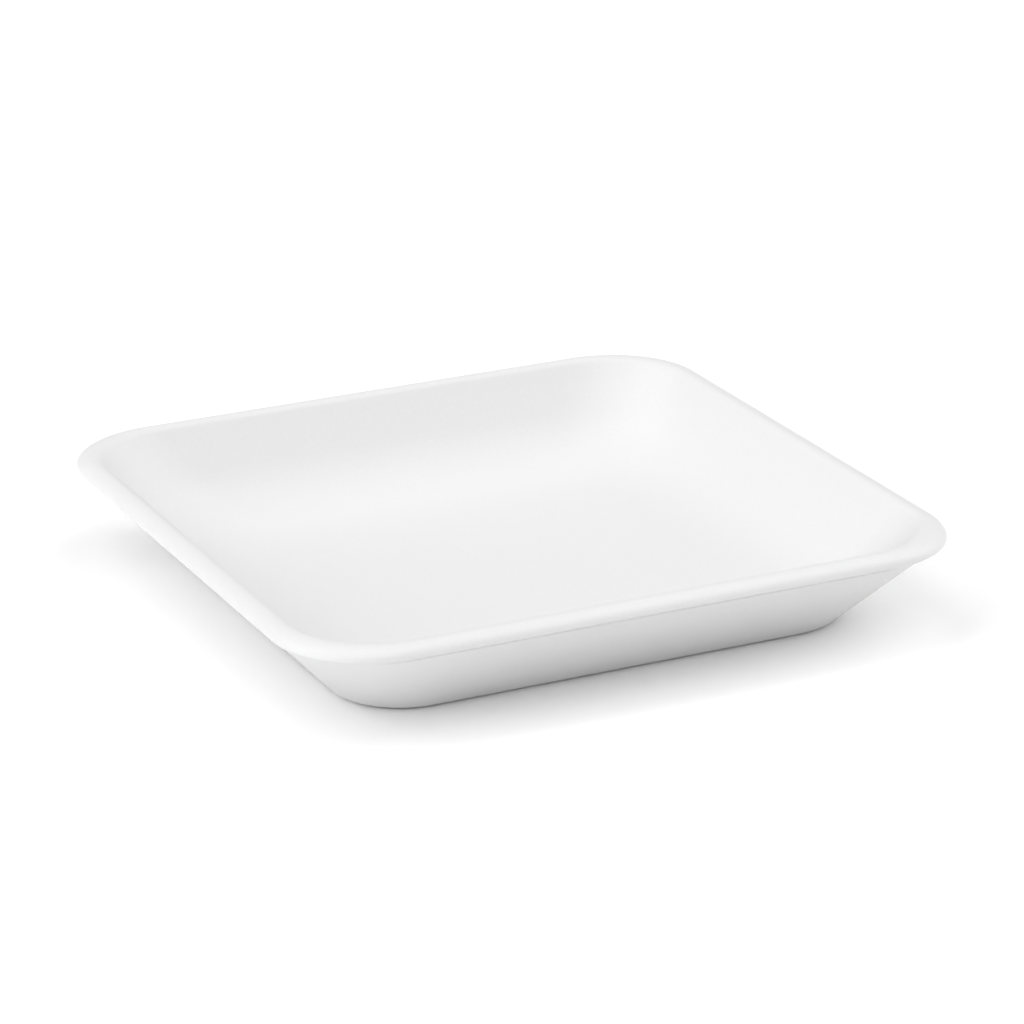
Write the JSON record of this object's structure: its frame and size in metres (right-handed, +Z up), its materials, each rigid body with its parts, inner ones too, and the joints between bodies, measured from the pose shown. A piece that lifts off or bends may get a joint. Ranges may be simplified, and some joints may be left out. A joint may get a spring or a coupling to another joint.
{
  "type": "foam meat tray",
  "caption": "A shallow square tray pressed from white foamed plastic sheet, with sloping sides and a beaded rim, that holds fresh meat under a stretched film.",
  "frame": {"origin": "the middle of the flat underside, on the table", "axes": "+Z up, out of the tray's mouth; +X and +Y along the tray's two equal sides"},
  "size_m": [0.1334, 0.1334, 0.019],
  "materials": {
    "foam": "white extruded polystyrene foam with a smooth, slightly satin skin"
  },
  "bodies": {
    "root": {"foam_tray": "foam"}
  },
  "joints": []
}
